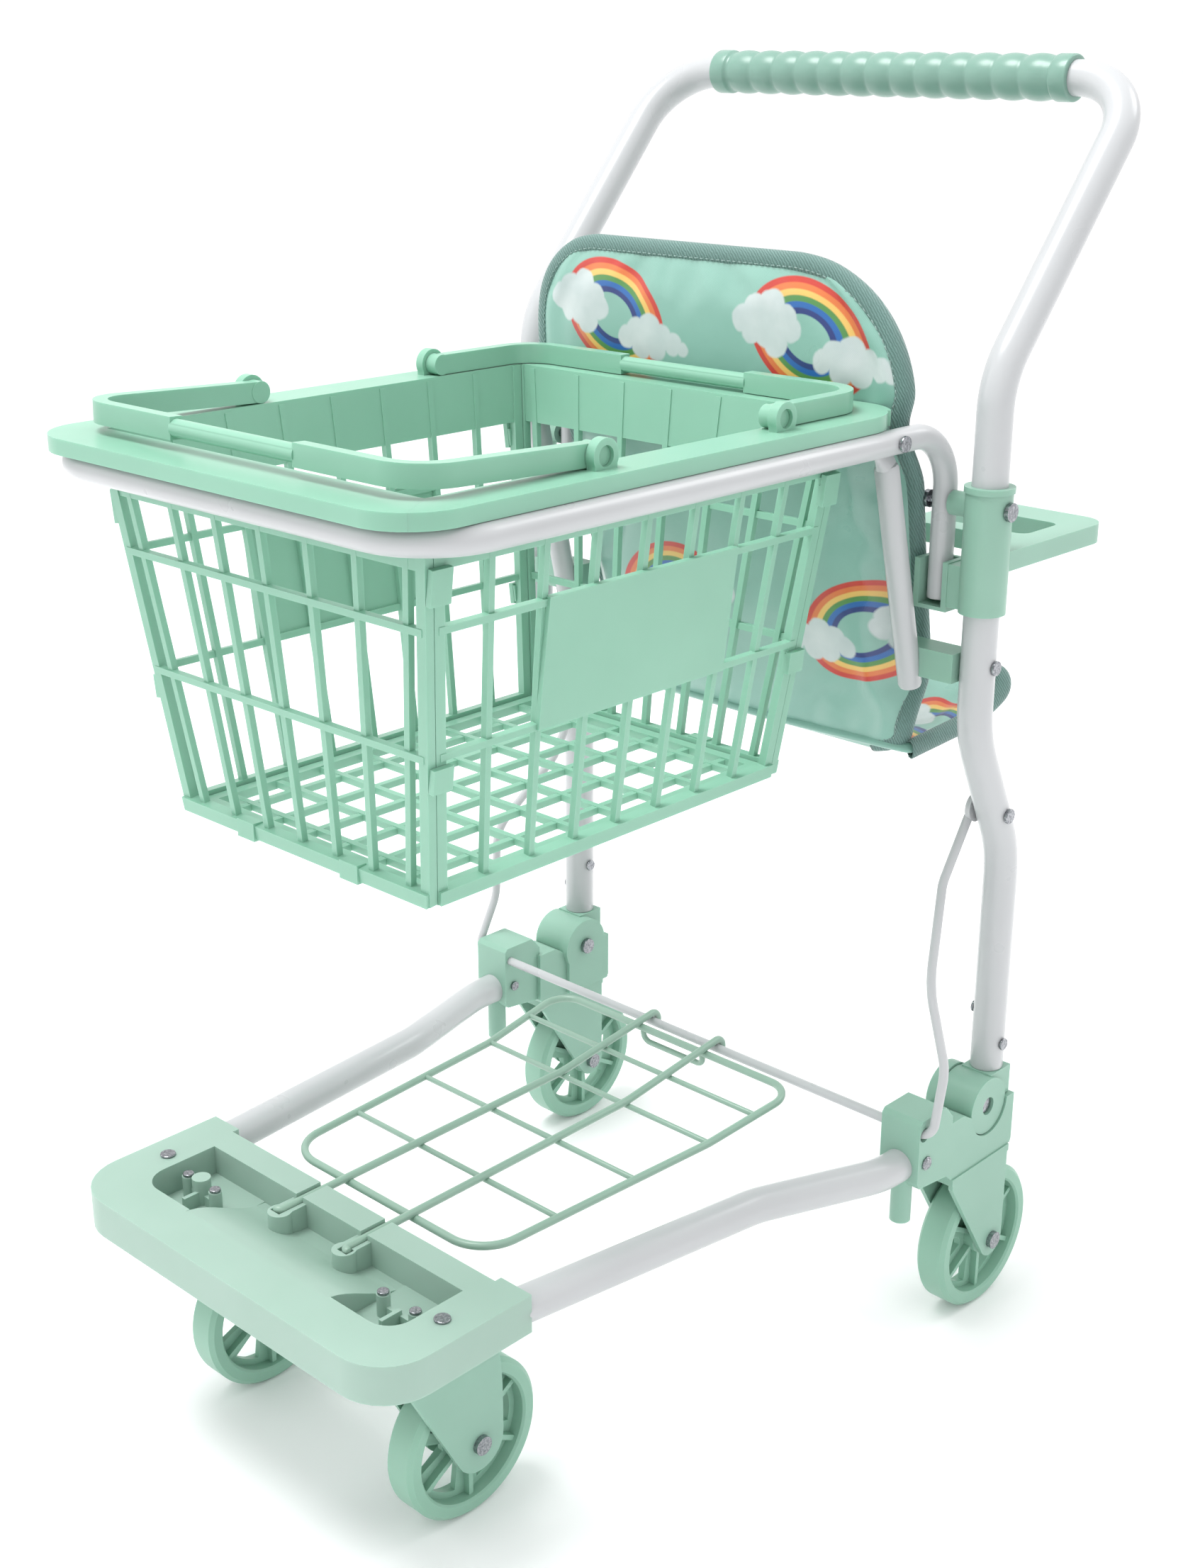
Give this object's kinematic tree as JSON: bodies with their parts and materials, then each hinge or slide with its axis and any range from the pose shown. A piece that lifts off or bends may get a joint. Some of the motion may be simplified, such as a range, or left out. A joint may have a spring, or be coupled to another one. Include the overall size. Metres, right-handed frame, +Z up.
{
  "type": "toy shopping cart",
  "caption": "Child's wheeled shopping cart with a lift-out plastic basket, a folding tubular handle frame, a padded doll seat and a low wire rack.",
  "frame": {"origin": "middle of the cart's footprint on the floor", "axes": "+X across the cart to the right-hand wheels, -Y towards the front platform, +Y towards the handle, +Z up"},
  "size_m": [0.3114, 0.447, 0.5995],
  "materials": {
    "mint_plastic": "moulded, satin gloss",
    "white_tube": "white powder coat",
    "mint_wire": "mint powder coat on wire",
    "soft_grip": "soft moulded grip",
    "screws": "zinc-plated",
    "seat_cloth": "coated printed cloth"
  },
  "bodies": {
    "base": {"platform": "mint_plastic", "lower_tube_left": "white_tube", "lower_tube_right": "white_tube", "rear_bracket_left": "mint_plastic", "rear_bracket_right": "mint_plastic", "rear_fork_left": "mint_plastic", "rear_fork_right": "mint_plastic", "front_fork_left": "mint_plastic", "front_fork_right": "mint_plastic", "front_axle_left": "screws", "front_axle_right": "screws", "rear_axle_left": "screws", "rear_axle_right": "screws", "platform_screws": "screws", "fork_rivets": "screws", "bracket_screws": "screws", "pivot_bolts": "screws"},
    "front_wheel_left": {"front_wheel_left": "mint_plastic"},
    "front_wheel_right": {"front_wheel_right": "mint_plastic"},
    "rear_wheel_left": {"rear_wheel_left": "mint_plastic"},
    "rear_wheel_right": {"rear_wheel_right": "mint_plastic"},
    "brace": {"brace_wire": "white_tube"},
    "rack": {"rack": "mint_wire"},
    "upper_frame": {"handle_tube": "white_tube", "grip": "soft_grip", "sleeve_left": "mint_plastic", "sleeve_right": "mint_plastic", "knuckle_left": "mint_plastic", "knuckle_right": "mint_plastic", "basket_frame": "white_tube", "seat_tube_left": "white_tube", "seat_tube_right": "white_tube", "seat_clip_left": "mint_plastic", "seat_clip_right": "mint_plastic", "seat_back": "seat_cloth", "seat_base": "seat_cloth", "seat_screws": "screws", "brace_bolts": "screws", "knuckle_screws": "screws", "sleeve_bolts": "screws", "frame_bolts": "screws"},
    "basket": {"basket_front": "mint_plastic", "basket_rear": "mint_plastic", "basket_side_left": "mint_plastic", "basket_side_right": "mint_plastic", "basket_floor": "mint_plastic"},
    "front_handle": {"front_handle": "mint_plastic"},
    "rear_handle": {"rear_handle": "mint_plastic"}
  },
  "joints": [
    {"name": "front_wheel_left_spin", "type": "hinge", "parent": "base", "child": "front_wheel_left", "pos_m": [-0.069, -0.148, 0.0375], "axis": [1, 0, 0], "continuous": true},
    {"name": "front_wheel_right_spin", "type": "hinge", "parent": "base", "child": "front_wheel_right", "pos_m": [0.069, -0.148, 0.0375], "axis": [1, 0, 0], "continuous": true},
    {"name": "rear_wheel_left_spin", "type": "hinge", "parent": "base", "child": "rear_wheel_left", "pos_m": [-0.139, 0.1395, 0.0375], "axis": [1, 0, 0], "continuous": true},
    {"name": "rear_wheel_right_spin", "type": "hinge", "parent": "base", "child": "rear_wheel_right", "pos_m": [0.139, 0.1395, 0.0375], "axis": [1, 0, 0], "continuous": true},
    {"name": "frame_fold", "type": "hinge", "parent": "base", "child": "upper_frame", "pos_m": [0, 0.1305, 0.116], "axis": [1, 0, 0], "range_deg": [0, 28]},
    {"name": "brace_swing", "type": "hinge", "parent": "base", "child": "brace", "pos_m": [0, 0.075, 0.1232], "axis": [1, 0, 0], "range_deg": [0, 28]},
    {"name": "rack_lift", "type": "hinge", "parent": "base", "child": "rack", "pos_m": [0, -0.1707, 0.1195], "axis": [1, 0, 0], "range_deg": [0, 25]},
    {"name": "basket_lift", "type": "slide", "parent": "upper_frame", "child": "basket", "axis": [0, 0, 1], "range_m": [0, 0.17]},
    {"name": "front_handle_swing", "type": "hinge", "parent": "basket", "child": "front_handle", "pos_m": [0, -0.099, 0.4625], "axis": [-1, 0, 0], "range_deg": [-2.4, 115]},
    {"name": "rear_handle_swing", "type": "hinge", "parent": "basket", "child": "rear_handle", "pos_m": [0, 0.0068, 0.4625], "axis": [1, 0, 0], "range_deg": [0, 115]}
  ],
  "couplings": [
    {"joint": "brace_swing", "follows": "frame_fold", "ratio": 1}
  ]
}
